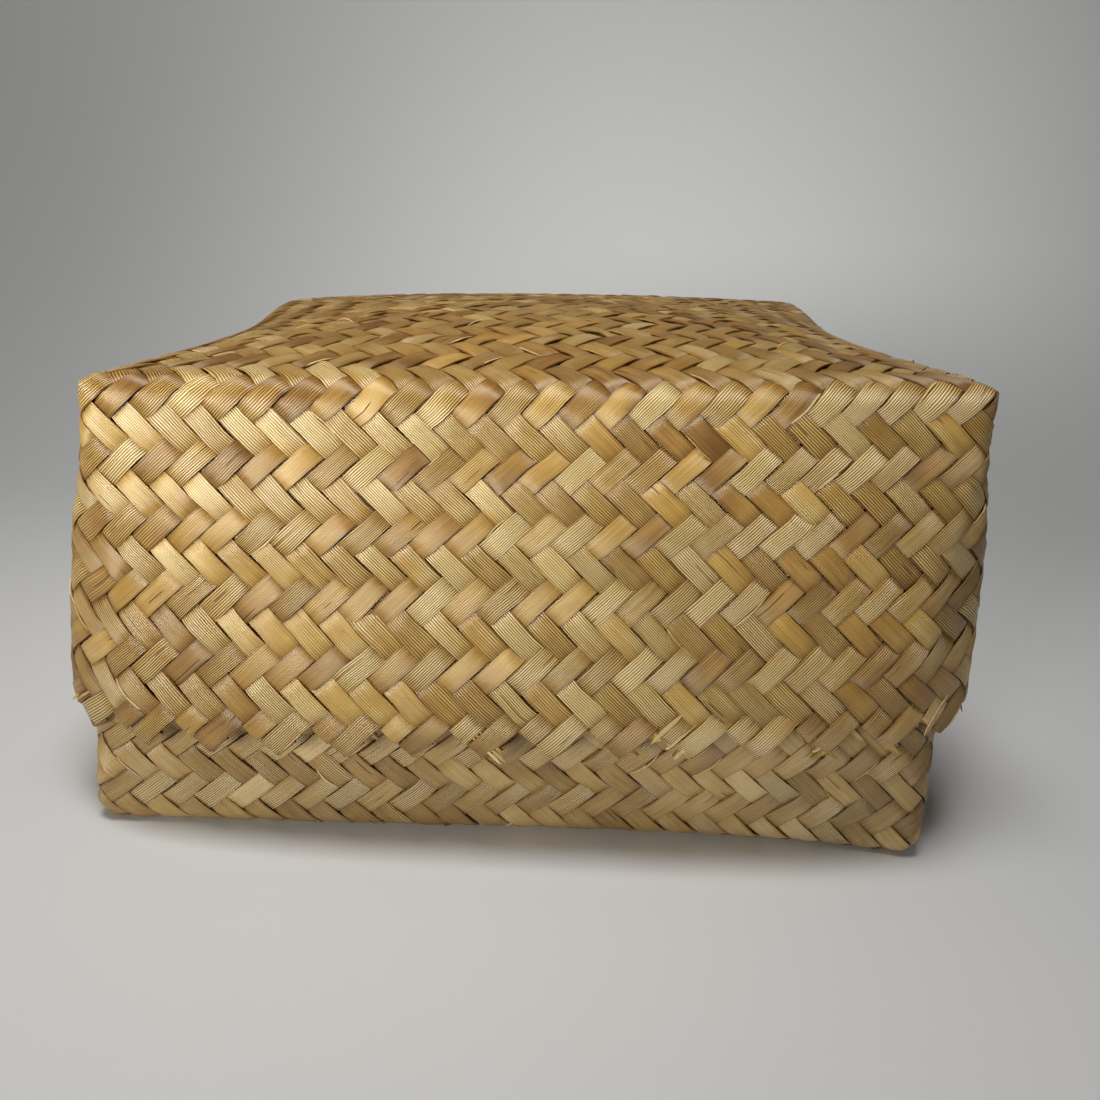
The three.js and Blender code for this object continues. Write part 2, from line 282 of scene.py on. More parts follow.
class Shell:
    """The middle surface of one woven shell, addressed along its faces and down its walls."""

    def __init__(self, name, half_width, half_depth, reach, rows, profiles):
        self.name = name
        self.is_lid = name == "lid"
        self.half_width = half_width
        self.half_depth = half_depth
        self.rows = rows
        self.pitch_x = 2 * half_width / STRIPS_WIDE
        self.pitch_y = 2 * half_depth / STRIPS_DEEP
        self.pitch_t = reach / rows
        self.profiles = profiles

    def height_at(self, depth):
        if self.is_lid:
            return CLOSED_HEIGHT - depth
        return WEAVE_THICKNESS / 2 + depth

    def lean_at(self, height):
        if self.is_lid:
            return np.full(np.shape(height), LEAN)
        foot = WEAVE_THICKNESS / 2
        return LEAN * (height - foot) / (BASE_RIM_HEIGHT - foot)

    def corner_lift_at(self, height):
        if self.is_lid:
            return np.zeros(np.shape(height))
        start = smooth((height - WEAVE_THICKNESS / 2) / FOOT_EDGE_HEIGHT)
        return FOOT_CORNER_LIFT * start * smooth(1 - height / FOOT_CORNER_HEIGHT)

    def foot_bow_at(self, height, across, along):
        """The base's front foot edge comes forward at its left end and goes in at its right end."""
        if self.is_lid:
            return 0.0
        strength = FOOT_FRONT_BOW * smooth(1 - height / BASE_BELLY_FROM)
        strength = strength * np.where(across < 0, 1.0, FOOT_BOW_RIGHT_PART)
        return strength * across * (1 - across**2) * np.maximum(-along, 0) ** 3

    def on_rounded_box(self, face, s, t):
        def over(v, core, radius):
            return np.sign(v) * np.tan(np.clip((np.abs(v) - core) / radius, 0, math.pi / 4))

        def peaked(x, y, z):
            n = np.stack([x, y, z], -1)
            n /= np.linalg.norm(n, axis=-1, keepdims=True)
            # The product of the parts is largest on the diagonal, where its square is 1/27
            cornerness = np.prod(n, axis=-1, keepdims=True) ** 2 / (1 / 27)
            return n * (1 + (LID_CORNER_PEAK if self.is_lid else FOOT_CORNER_PEAK) * cornerness)

        if face == "panel":
            core_x = self.half_width - HALF_EDGE
            core_y = self.half_depth - HALF_EDGE
            n = peaked(over(s, core_x, EDGE_RADIUS), over(t, core_y, EDGE_RADIUS), np.ones_like(s))
            x = np.clip(s, -core_x, core_x) + EDGE_RADIUS * n[..., 0]
            y = np.clip(t, -core_y, core_y) + EDGE_RADIUS * n[..., 1]
            return x, y, EDGE_RADIUS * (1 - n[..., 2])
        faces_x = face in ("left", "right")
        radius = eased(self.profiles["corner"], t)
        half_arc = math.pi * radius / 4
        along_core = (self.half_depth if faces_x else self.half_width) - half_arc
        out_core = (self.half_width if faces_x else self.half_depth) - half_arc
        up = np.tan(np.clip((HALF_EDGE - t) / EDGE_RADIUS, 0, math.pi / 4))
        n = peaked(over(s, along_core, radius), np.ones_like(s), up)
        along = np.clip(s, -along_core, along_core) + radius * n[..., 0]
        out = out_core + radius * n[..., 1]
        turn = WALL_TURN[face]
        x = along * math.cos(turn) + out * math.sin(turn)
        y = along * math.sin(turn) - out * math.cos(turn)
        return x, y, np.maximum(t - HALF_EDGE, 0) + EDGE_RADIUS * (1 - n[..., 2])

    def point(self, face, s, t):
        plain_x, plain_y, depth_here = self.on_rounded_box(face, s, t)
        height = self.height_at(depth_here)
        depth = CLOSED_HEIGHT - height
        own_x = plain_x / (self.half_width + EDGE_EXCESS)
        own_y = plain_y / (self.half_depth + EDGE_EXCESS)
        across = np.clip(plain_x / LID_HALF_X, -1, 1)
        along = np.clip(plain_y / LID_HALF_Y, -1, 1)
        flare = eased(self.profiles["flare"], depth)
        pinch = TOP_PINCH * (1 - smooth(depth / PINCH_DEPTH)) * (1 - along**2)
        press = BACK_CORNER_PRESS * (1 - smooth(depth / PRESS_DEPTH)) * np.maximum(along, 0) ** 4
        side = eased(self.profiles["side"], depth) * (1 - along**6) * (1 + along**2) / 2
        front = eased(self.profiles["front"], depth) * (1 - across**4)
        edge_rise = np.where(along < 0, -FRONT_EDGE_SAG, BACK_EDGE_RISE)
        side_sag = np.where(across < 0, LEFT_EDGE_SAG, RIGHT_EDGE_SAG)
        corner_drop = np.where(along < 0, FRONT_CORNER_DROP, 0)
        bow = self.foot_bow_at(height, across, along)
        rise = (
            CROWN * (1 - across**2) * (1 - along**2)
            + edge_rise * (1 - across**2) * along**4
            - side_sag * (1 - along**2) * across**4
            - corner_drop * (across * along) ** 4
        ) * smooth(1 - depth / CROWN_FADE)
        return np.stack(
            [
                plain_x + own_x * flare + own_x**3 * (side - pinch - press),
                plain_y + own_y * flare + own_y**3 * front + bow,
                height + rise + self.lean_at(height) * plain_x
                + self.corner_lift_at(height) * (across * along) ** 8,
            ],
            -1,
        )

    def point_and_normal(self, face, s, t):
        ds = np.where(s > 0, -NORMAL_STEP, NORMAL_STEP)
        dt = np.full_like(t, NORMAL_STEP)
        if face == "panel":
            dt = np.where(t > 0, -NORMAL_STEP, NORMAL_STEP)
        here = self.point(face, s, t)
        along_s = (self.point(face, s + ds, t) - here) / ds[..., None]
        along_t = (self.point(face, s, t + dt) - here) / dt[..., None]
        normal = np.cross(along_s, along_t)
        normal /= np.linalg.norm(normal, axis=-1, keepdims=True)
        if face == "panel":
            out = np.zeros_like(here)
            out[..., 2] = 1.0 if self.is_lid else -1.0
        else:
            out = here / np.array([LID_HALF_X, LID_HALF_Y, 1.0])
            out[..., 2] = 0.0
        flip = np.sum(normal * out, axis=-1) < 0
        normal[flip] *= -1
        return here, normal

    def lattice_to_surface(self, edge, x, y):
        """Points and normals at places, in strips, on the panel unfolded over one of its edges."""
        beyond = {
            "front": -HALF_DEEP - y,
            "right": x - HALF_WIDE,
            "back": y - HALF_DEEP,
            "left": -HALF_WIDE - x,
        }[edge]
        ring = ring_place(edge, x, y)
        points = np.empty(x.shape + (3,))
        normals = np.empty(x.shape + (3,))
        on_panel = beyond <= 0
        if on_panel.any():
            sx = np.clip(x[on_panel] * self.pitch_x, -self.half_width, self.half_width)
            sy = np.clip(y[on_panel] * self.pitch_y, -self.half_depth, self.half_depth)
            points[on_panel], normals[on_panel] = self.point_and_normal("panel", sx, sy)
        for face in WALLS:
            start = WALL_START[face]
            length = STRIPS_DEEP if face in ("left", "right") else STRIPS_WIDE
            pitch = self.pitch_y if face in ("left", "right") else self.pitch_x
            here = ~on_panel & (ring >= start) & (ring < start + length)
            if here.any():
                s = (ring[here] - start - length / 2) * pitch
                t = beyond[here] * self.pitch_t
                points[here], normals[here] = self.point_and_normal(face, s, t)
        return points, normals


LID = Shell(
    "lid",
    LID_WIDTH / 2,
    LID_DEPTH / 2,
    LID_WALL_REACH,
    LID_ROWS,
    {
        "flare": [(0, 0), (LID_WALL_REACH / 2, 0), (LID_WALL_REACH, LID_RIM_FLARE)],
        "front": [(0, 0), (BELLY_DEPTH, LID_FRONT_BELLY), (LID_WALL_REACH, LID_FRONT_BELLY_AT_RIM)],
        "side": [(0, 0), (BELLY_DEPTH, LID_SIDE_BELLY), (LID_WALL_REACH, LID_SIDE_BELLY_AT_RIM)],
        "corner": [(EDGE_RADIUS, EDGE_RADIUS), (LID_CORNER_DEPTH, LID_RIM_CORNER_RADIUS)],
    },
)
BASE = Shell(
    "base",
    LID_WIDTH / 2 - WALL_SPACING,
    LID_DEPTH / 2 - WALL_SPACING,
    BASE_RIM_HEIGHT - WEAVE_THICKNESS / 2 - EDGE_EXCESS,
    BASE_ROWS,
    {
        "flare": [(CLOSED_HEIGHT - FOOT_FLARE_HEIGHT, 0), (CLOSED_HEIGHT, FOOT_FLARE)],
        "front": [
            (CLOSED_HEIGHT - BASE_RIM_HEIGHT, 0),
            (CLOSED_HEIGHT - BASE_BELLY_TO, BASE_FRONT_BELLY),
            (CLOSED_HEIGHT - BASE_BELLY_FROM, BASE_FRONT_BELLY),
            (CLOSED_HEIGHT, BASE_FRONT_TUCK),
        ],
        "side": [
            (CLOSED_HEIGHT - BASE_RIM_HEIGHT, 0),
            (CLOSED_HEIGHT - BASE_BELLY_TO, BASE_SIDE_BELLY),
            (CLOSED_HEIGHT - BASE_BELLY_FROM, BASE_SIDE_BELLY),
            (CLOSED_HEIGHT, BASE_SIDE_TUCK),
        ],
        "corner": [
            (EDGE_RADIUS, EDGE_RADIUS),
            (BASE_CORNER_HEIGHTS[0], BASE_CORNER_RADIUS),
            (BASE_CORNER_HEIGHTS[1], BASE_CORNER_RADIUS),
            (BASE_CORNER_HEIGHTS[2], EDGE_RADIUS),
        ],
    },
)


class Strip:
    """One strip: a diagonal over the panel that runs down a wall at each end, counted in strips."""

    def __init__(self, shell, rising, offset):
        self.shell = shell
        self.rising = rising
        turn = 1.0 if rising else -1.0
        self.direction = (1.0, turn)
        self.lateral = (0.5, -0.5 * turn)
        enters_side = offset - HALF_DEEP < -HALF_WIDE
        leaves_side = offset + HALF_DEEP > HALF_WIDE
        first_x = -HALF_WIDE if enters_side else offset - HALF_DEEP
        last_x = HALF_WIDE if leaves_side else offset + HALF_DEEP
        self.start = (first_x, turn * (first_x - offset))
        self.length = last_x - first_x
        end = (last_x, turn * (last_x - offset))
        self.start_edge = "left" if enters_side else ("front" if rising else "back")
        self.end_edge = "right" if leaves_side else ("back" if rising else "front")
        self.start_reach = self.rim_reach(self.start_edge, self.start)
        self.end_reach = self.rim_reach(self.end_edge, end)

    def is_slash(self, edge):
        """Whether the strip runs back along the ring as it goes down the wall at this edge."""
        return (edge in ("front", "back")) == self.rising

    def rim_reach(self, edge, place):
        """Rows down the wall to the fold: each leg of a tooth carries two strip ends."""
        valley = self.shell.rows - 1
        ring = ring_place(edge, *place)
        if self.is_slash(edge):
            return valley + ((ring - valley - 1) % 2) / 2
        return valley + ((1 - valley - ring) % 2) / 2

    def over(self, crossing):
        """1 where the strip is on top at a crossing, -1 where it is below: over two, under two."""
        w = crossing / 2
        if w < 0:
            row = round(-2 * w)
            slash = self.is_slash(self.start_edge)
        elif w > self.length:
            row = round(2 * (w - self.length))
            slash = self.is_slash(self.end_edge)
        else:
            from_side = HALF_WIDE - abs(self.start[0] + w)
            from_front = HALF_DEEP - abs(self.start[1] + w * self.direction[1])
            row = -round(2 * min(from_side, from_front))
            slash = (from_front < from_side) == self.rising
        return 1 if slash == (row % 4 in (0, 1)) else -1


def float_level(change, sign, part):
    """Level of a strip between two crossings: arched over its float, or through the weave."""
    if not change:
        arch = (1 - ARCH_AT_CROSSING) * FLOAT_ARCH
        return sign * (CROSSING_LEVEL + arch * math.sin(math.pi * part))
    dive = 1 - 2 * float(smooth((part - 0.5) / DIVE_LENGTH + 0.5))
    arch = ARCH_IN_DIVE * FLOAT_ARCH
    return sign * dive * (CROSSING_LEVEL - arch * math.sin(math.pi * min(part, 1 - part)))


def strip_path(strip, rng):
    """Stations along a strip: place, level, turn of the skin in radians, and side of the fold."""
    low, high = -strip.start_reach, strip.length + strip.end_reach
    first, last = math.floor(2 * low) - 1, math.ceil(2 * high) + 1
    signs = {j: strip.over(j) for j in range(first, last + 1)}
    places, levels = [], []
    for j in range(first, last):
        changes = signs[j] != signs[j + 1]
        for part in DIVE_PARTS if changes else FLOAT_PARTS:
            places.append((j + part) / 2)
            levels.append(float_level(changes, signs[j], part))
    first, last = low + FOLD_MARGIN, high - FOLD_MARGIN
    run = [(w, z, 0.0, 0.0) for w, z in zip(places, levels) if first < w < last]
    ends = [(w, float(np.interp(w, places, levels))) for w in (low, high)]
    unit = strip.shell.pitch_t * math.sqrt(2)
    tucked = -CROSSING_LEVEL - TAIL_GAP * STRIP_THICKNESS
    tails = []
    for (w_end, level), side in zip(ends, (-1, 1)):
        radius = (level - tucked) / 2
        tail = [(w_end, level, 0.0, side)]
        for part in FOLD_PARTS:
            bend = part * math.pi
            out = side * radius * math.sin(bend) / unit
            tail.append((w_end + out, level - radius * (1 - math.cos(bend)), bend, side))
        reach = TAIL_ROWS * rng.uniform(*TAIL_LENGTHS)
        for part in TAIL_PARTS:
            level = tucked - TAIL_DROP * part**2
            tail.append((w_end - side * reach * part, level, math.pi, side))
        tails.append(tail)
    return tails[0][::-1] + run + tails[1]


# One cross-section of a strip: five points over its outer skin and three back along its inner skin
SECTION_ACROSS = np.array([-1.0, -0.6, 0.0, 0.6, 1.0, 1.0, 0.0, -1.0])
SECTION_SKIN = np.array([1.0, 1.0, 1.0, 1.0, 1.0, -1.0, -1.0, -1.0]) * STRIP_THICKNESS / 2
SECTION_SIZE = len(SECTION_ACROSS)
SHARP_SECTION_POINTS = (0, 4, 5, 7)

# The baking map's edges, as a part of a strip's half width, and its gaps in millimetres
MAP_EDGE = 0.12
MAP_GAP = 1.2


def strip_faces(lengths, half_width_mm, turned):
    """Faces of a closed tube of sections, and their corners on a map for baking its material.

    The map cuts the strip into rows of one square, where the inner skin has half its width."""
    size = SECTION_SIZE
    inner = 2 + MAP_EDGE + (1 - SECTION_ACROSS[5:]) / 2
    heights = np.concatenate([SECTION_ACROSS[:5] + 1, inner, [3 + 2 * MAP_EDGE]]) * half_width_mm
    row_height = heights[-1] + MAP_GAP
    margin = np.diff(lengths).max() + 2 * MAP_GAP
    rows = 1
    while lengths[-1] > rows * (rows * row_height - margin):
        rows += 1
    usable = rows * row_height - margin
    faces, corners = [], []
    for i, (begin, end) in enumerate(zip(lengths, lengths[1:])):
        row = min(int(begin / usable), rows - 1)
        left, right = MAP_GAP + begin - row * usable, MAP_GAP + end - row * usable
        steps = row * row_height + heights
        this, following = i * size, (i + 1) * size
        for k in range(size):
            after = (k + 1) % size
            faces.append((this + k, following + k, following + after, this + after))
            low, high = steps[k], steps[k + 1]
            corners.append([(left, low), (right, low), (right, high), (left, high)])
        if i == 0:
            faces += [(0, 1, 2, 6, 7), (2, 3, 4, 5, 6)]
            corners += end_corners(left, left - MAP_GAP / 2, steps)
    last = (len(lengths) - 1) * size
    faces += [tuple(last + k for k in end) for end in ((7, 6, 2, 1, 0), (6, 5, 4, 3, 2))]
    corners += [end[::-1] for end in end_corners(right, right + MAP_GAP / 2, steps)]
    if turned:
        faces, corners = [face[::-1] for face in faces], [face[::-1] for face in corners]
    return faces, np.array([corner for face in corners for corner in face]) / (rows * row_height)


def end_corners(skin, inner, steps):
    """Corners on the map of the two faces of an end, from the outer skin to the inner one."""
    return [
        [(skin, step) for step in steps[k : k + 3]] + [(inner, steps[k + 2]), (inner, steps[k])]
        for k in (0, 2)
    ]


def over_weave(strip, along, across):
    """Points of the weave's middle and its normals, at places along and across a strip."""
    x = strip.start[0] + along * strip.direction[0] + across * strip.lateral[0]
    y = strip.start[1] + along * strip.direction[1] + across * strip.lateral[1]
    points = np.empty(x.shape + (3,))
    normals = np.empty(x.shape + (3,))
    near_start = along < strip.length / 2
    for edge, mask in ((strip.start_edge, near_start), (strip.end_edge, ~near_start)):
        points[mask], normals[mask] = strip.shell.lattice_to_surface(edge, x[mask], y[mask])
    return points, normals


class Fibres:
    """Fine fibres split off the strips of a shell, as thin closed tubes that share one mesh."""

    def __init__(self):
        self.places, self.faces, self.flat, self.tones, self.seeds = [], [], [], [], []

    def add(self, strip, along, across, lift, width, tone, seed):
        """One fibre along its middle line, with its lift and greatest width in millimetres."""
        count = len(along)
        taper = 1 - FIBRE_TAPER * np.linspace(-1, 1, count) ** 6
        half = 0.5 * width / (strip.shell.pitch_t / math.sqrt(2)) * taper
        sides = across[:, None] + half[:, None] * [-1, 1, 1, -1]
        thick = (0.5 * FIBRE_THICKNESS * taper)[:, None] * [1, 1, -1, -1]
        points, normals = over_weave(strip, np.repeat(along[:, None], 4, 1), sides)
        places = points + normals * (lift[:, None] + thick)[..., None]
        first = 4 * sum(len(p) for p in self.places)
        faces = [
            (i + k, i + 4 + k, i + 4 + (k + 1) % 4, i + (k + 1) % 4)
            for i in range(0, 4 * (count - 1), 4)
            for k in range(4)
        ]
        end = (count - 1) * 4
        faces += [(0, 1, 2, 3), (end + 3, end + 2, end + 1, end)]
        middle = count // 2
        lengthwise = places[middle + 1, 0] - places[middle, 0]
        crosswise = places[middle, 1] - places[middle, 0]
        order = -1 if np.cross(lengthwise, crosswise) @ normals[middle, 0] < 0 else 1
        self.faces += [tuple(first + corner for corner in face[::order]) for face in faces]
        self.places.append(places)
        steps = np.linalg.norm(np.diff(places[:, 0], axis=0), axis=1)
        lengths = np.repeat(np.append(0, np.cumsum(steps)), 4)
        self.flat.append(np.stack([lengths, np.zeros(4 * count)], -1))
        self.tones.append(np.full(4 * count, tone))
        self.seeds.append(np.full(4 * count, seed))

    def mesh(self, name):
        mesh = bpy.data.meshes.new(name)
        places = np.concatenate(self.places).reshape(-1, 3) * MM
        mesh.from_pydata(places.tolist(), [], self.faces)
        add_flat_map(mesh, np.concatenate(self.flat))
        tones, seeds = np.concatenate(self.tones), np.concatenate(self.seeds)
        plain = np.zeros(len(tones))
        add_values(mesh, tone=tones, seed=seeds, ribbing=plain, blush=seeds, ribs=plain)
        return mesh


def add_map(mesh, name, corners):
    flat = corners.astype(np.float32).ravel()
    mesh.uv_layers.new(name=name).data.foreach_set("uv", flat)


def add_flat_map(mesh, flat):
    """The map "strip": millimetres along and across the strip, for its ribs, fibres and sheen."""
    corners = np.empty(len(mesh.loops), dtype=int)
    mesh.loops.foreach_get("vertex_index", corners)
    add_map(mesh, "strip", flat[corners])


def add_values(mesh, **values):
    for key, value in values.items():
        attribute = mesh.attributes.new(key, "FLOAT", "POINT")
        attribute.data.foreach_set("value", value.astype(np.float32))


def strip_mesh(strip, rng, name, tone):
    """The closed, crowned ribbon of one strip with its tails, and what its material reads."""
    w, level, bend, side = np.array(strip_path(strip, rng)).T
    unit = strip.shell.pitch_t * math.sqrt(2)
    half_width_mm = unit / 4
    # Slow changes of width and place, and a small twist of each float
    knots = np.arange(math.floor(2 * w.min()) - 3, math.ceil(2 * w.max()) + 4)

    def wander(size, step=1):
        return np.interp(2 * w, knots[::step], rng.normal(0, size, len(knots[::step])))

    width = rng.uniform(*STRIP_WIDTHS) + wander(WIDTH_WANDER)
    drift = wander(SIDE_WANDER)
    twist = wander(TWIST_WANDER)
    delta = drift[:, None] + 0.5 * width[:, None] * SECTION_ACROSS
    along = w[:, None] + (side * np.sin(bend))[:, None] * SECTION_SKIN / unit
    points, normals = over_weave(strip, along, delta)
    arch = np.clip(level / WEAVE_AMPLITUDE, -1, 1)[:, None]
    crown = STRIP_CROWN * arch * (1 - SECTION_ACROSS**2)
    roll = (twist * np.cos(bend))[:, None] * SECTION_ACROSS * half_width_mm
    lift = level[:, None] + crown + roll + np.cos(bend)[:, None] * SECTION_SKIN
    places = (points + normals * lift[..., None]) * MM

    sections = len(w)
    middle = sections // 2
    lengthwise = places[middle + 1, 2] - places[middle, 2]
    crosswise = places[middle, 3] - places[middle, 1]
    turned = np.cross(lengthwise, crosswise) @ normals[middle, 2] < 0
    steps = np.linalg.norm(np.diff(places[:, 2], axis=0), axis=1) / MM
    lengths = np.concatenate([[0.0], np.cumsum(steps)])
    faces, map_corners = strip_faces(lengths, half_width_mm, turned)
    mesh = bpy.data.meshes.new(name)
    mesh.from_pydata(places.reshape(-1, 3).tolist(), [], faces)
    add_map(mesh, "OFBake", map_corners)
    widths = np.tile(SECTION_ACROSS * half_width_mm, sections)
    add_flat_map(mesh, np.stack([np.repeat(lengths, SECTION_SIZE), widths], -1))
    floats = wander(FLOAT_TONE_WANDER)
    slow = wander(STRIP_TONE_WANDER, STRIP_TONE_KNOTS)
    # Painted shade: strips are darker where they face up
    painted_top_shade = TOP_PAINTED_SHADE * np.maximum(normals[:, 2, 2], 0)
    # Painted shade darkens a strip where it goes down between its neighbours
    painted_dive_shade = DIVE_PAINTED_SHADE * np.clip(1 - level / CROSSING_LEVEL, 0, 1)
    # Painted sheen: strips of each direction of the weave are paler on one half of the box, where
    # the light's sheen falls on them, and their ribbing shifts with it
    painted_sheen_side = np.clip(points[:, 2, 0] / (LID_WIDTH / 2), -1, 1)
    painted_sheen_side = painted_sheen_side if strip.rising else -painted_sheen_side
    tones = tone + floats + slow - painted_top_shade - painted_dive_shade + SIDE_PAINTED_SHEEN * painted_sheen_side
    ribbing = rng.uniform(*LID_RIBBING if strip.shell.is_lid else BASE_RIBBING)
    everywhere = np.ones(len(mesh.vertices))
    add_values(
        mesh,
        tone=np.repeat(np.clip(tones, 0, 1), SECTION_SIZE),
        seed=everywhere * rng.uniform(0, 1),
        ribbing=np.repeat(ribbing + SIDE_RIBBING_SHIFT * painted_sheen_side, SECTION_SIZE),
        blush=everywhere * rng.uniform(0, 1),
        ribs=everywhere * 2 * math.pi / rng.uniform(*RIB_PITCHES),
    )
    mesh.shade_smooth()
    ends = np.empty(len(mesh.edges) * 2, dtype=int)
    mesh.edges.foreach_get("vertices", ends)
    ends = ends.reshape(-1, 2)
    same_point = ends[:, 0] % SECTION_SIZE == ends[:, 1] % SECTION_SIZE
    sharp = same_point & np.isin(ends[:, 0] % SECTION_SIZE, SHARP_SECTION_POINTS)
    mesh.attributes.new("sharp_edge", "BOOLEAN", "EDGE").data.foreach_set("value", sharp)
    return mesh, Course(w, level, drift, width, bend)


class Course:
    """Where a strip lies between its folds, for the fibres split off it."""

    def __init__(self, w, level, drift, width, bend):
        flat = bend == 0
        self.w, self.level, self.drift, self.width = w[flat], level[flat], drift[flat], width[flat]

    def level_at(self, along):
        return np.interp(along, self.w, self.level)

    def edge_at(self, along, side):
        half_width = 0.5 * np.interp(along, self.w, self.width)
        return np.interp(along, self.w, self.drift) + side * half_width


def split_edges(fibres, strip, course, rng, often):
    """Slivers along a strip's edges, each raised off one of the floats that lie on top."""
    crossings = range(math.ceil(2 * course.w[0]), math.floor(2 * course.w[-1]))
    tops = [j / 2 + 0.25 for j in crossings if strip.over(j) == 1 and strip.over(j + 1) == 1]
    for middle in tops:
        if rng.random() > often:
            continue
        side = rng.choice((-1, 1))
        part = np.linspace(-1, 1, 11)
        along = middle + rng.uniform(-SLIVER_SHIFT, SLIVER_SHIFT)
        along = along + part * rng.uniform(*SLIVER_HALF_LENGTHS)
        bow = (1 - part**2) ** 1.3
        out = bow * rng.uniform(*SLIVER_BOWS) - SLIVER_OVERLAP
        skin = course.level_at(along) + STRIP_THICKNESS / 2
        lift = skin + bow * rng.uniform(*SLIVER_LIFTS) - SLIVER_SUNK
        width = rng.uniform(*SLIVER_WIDTHS)
        tone = rng.uniform(*SLIVER_TONES)
        across = course.edge_at(along, side) + side * out
        fibres.add(strip, along, across, lift, width, tone, rng.uniform(0, 1))


def fray_fold(fibres, strip, course, rng, end):
    """Strands split off a strip's folded end: loose loops round the fold, and broken ones."""
    fold, out = (course.w[-1], 1) if end else (course.w[0], -1)
    outer = float(course.level_at(fold)) + STRIP_THICKNESS / 2
    for place in rng.uniform(*STRAND_PLACES, rng.integers(*STRAND_COUNTS)):
        across = place + rng.normal(0, STRAND_SLANT, 2)
        reach = rng.uniform(*LOOP_REACHES)
        if rng.random() < LOOPED_OFTEN:
            turn = np.linspace(0, math.pi, LOOP_STATIONS)
            radius = rng.uniform(*LOOP_RADII)
            round_fold = LOOP_HEIGHT - radius * (1 - np.cos(turn))
            along = np.concatenate([LOOP_START_ALONG, reach * np.sin(turn), LOOP_END_ALONG])
            lift = np.concatenate([LOOP_START_LIFT, round_fold, [-2 * radius, -2 * radius]])
        else:
            along = BROKEN_ALONG * rng.uniform(*BROKEN_LENGTHS)
            lift = BROKEN_LIFT * rng.uniform(*BROKEN_LIFTS)
        across = np.interp(np.linspace(0, 1, len(along)), (0, 1), across)
        width = rng.uniform(*STRAND_WIDTHS)
        tone = rng.uniform(*STRAND_TONES)
        fibres.add(strip, fold + out * along, across, outer + lift, width, tone, rng.uniform(0, 1))


# The straw's noises: cycles in a millimetre along and across the strip, and detail. Every strip
# has its own layer of them
NOISES = {
    "fibres": (0.04, 1.9, 3.0),
    "streaks": (0.022, 0.8, 2.0),
    "blotches": (0.08, 0.14, 2.0),
    "stains": (0.16, 0.22, 1.0),
    "waver": (0.03, 0.25, 1.0),
}
CRACK_NOISE = (0.07, 9.0, 0.0)
SEED_SPREAD = 97.0

# Stains above a level of their noise, and painted shade towards the strip's edges, in millimetres
STAINED_FROM = 0.25
STRIP_HALF_WIDTH = 4.24
EDGE_SHARPNESS = 8.0

# Ribs: the waver and start of their phase, how narrow their grooves are, and how their strength
# follows from a strip's ribbing as a factor and an addition
RIB_WAVER = 5.0
RIB_START = 40.0
GROOVE_SHARPNESS = 2.1
RIB_STRENGTH = (2.6, -0.65)
RIB_BLOTCHES = 1.8
RIB_STRENGTH_LIMITS = (0.2, 1.0)

# Cracks: half width and reach from the strip's middle in millimetres, and how seldom they open
CRACK_HALF_WIDTH = 0.24
CRACK_REACH = 2.5
CRACK_WAVER = 0.8
CRACK_SEEDS = 13.0
CRACK_OPENING = (14.0, -2.3)

# What each effect adds to the tone, the warmth, the height and the roughness of the straw
TONE_PARTS = {
    "fibres": 0.4,
    "streaks": 0.42,
    "blotches": 0.4,
    # Ribbed strips are paler as a painted highlight, and their grooves darker as painted shade
    "strength": 0.45,
    "grooves": -0.96,
    # The darkening along the strip's edges is painted shade
    "painted_edge_shade": -0.3,
    "dark": -3.0,
    "crack": -0.8,
}
WARMTH_FROM_BLUSH = (1.15, -0.5)
WARMTH_PARTS = {"blotches": 1.2, "dark": 5.0}
HEIGHT_FROM_FIBRES = 0.2
HEIGHT_PARTS = {"grooves": -1.0, "crack": -1.6, "streaks": 0.12}
ROUGHNESS_FROM_STRENGTH = -0.05
ROUGHNESS_PARTS = {"streaks": 0.3}

# Fibres spread their sheen across themselves, so strips in the two directions differ in light
STRAW_SHEEN = {
    "Anisotropic": 0.85,
    "Anisotropic Rotation": 0.25,
    "Specular IOR Level": 1.0,
    "Specular Tint": (1.0, 0.92, 0.74, 1.0),
    "IOR": 1.65,
}


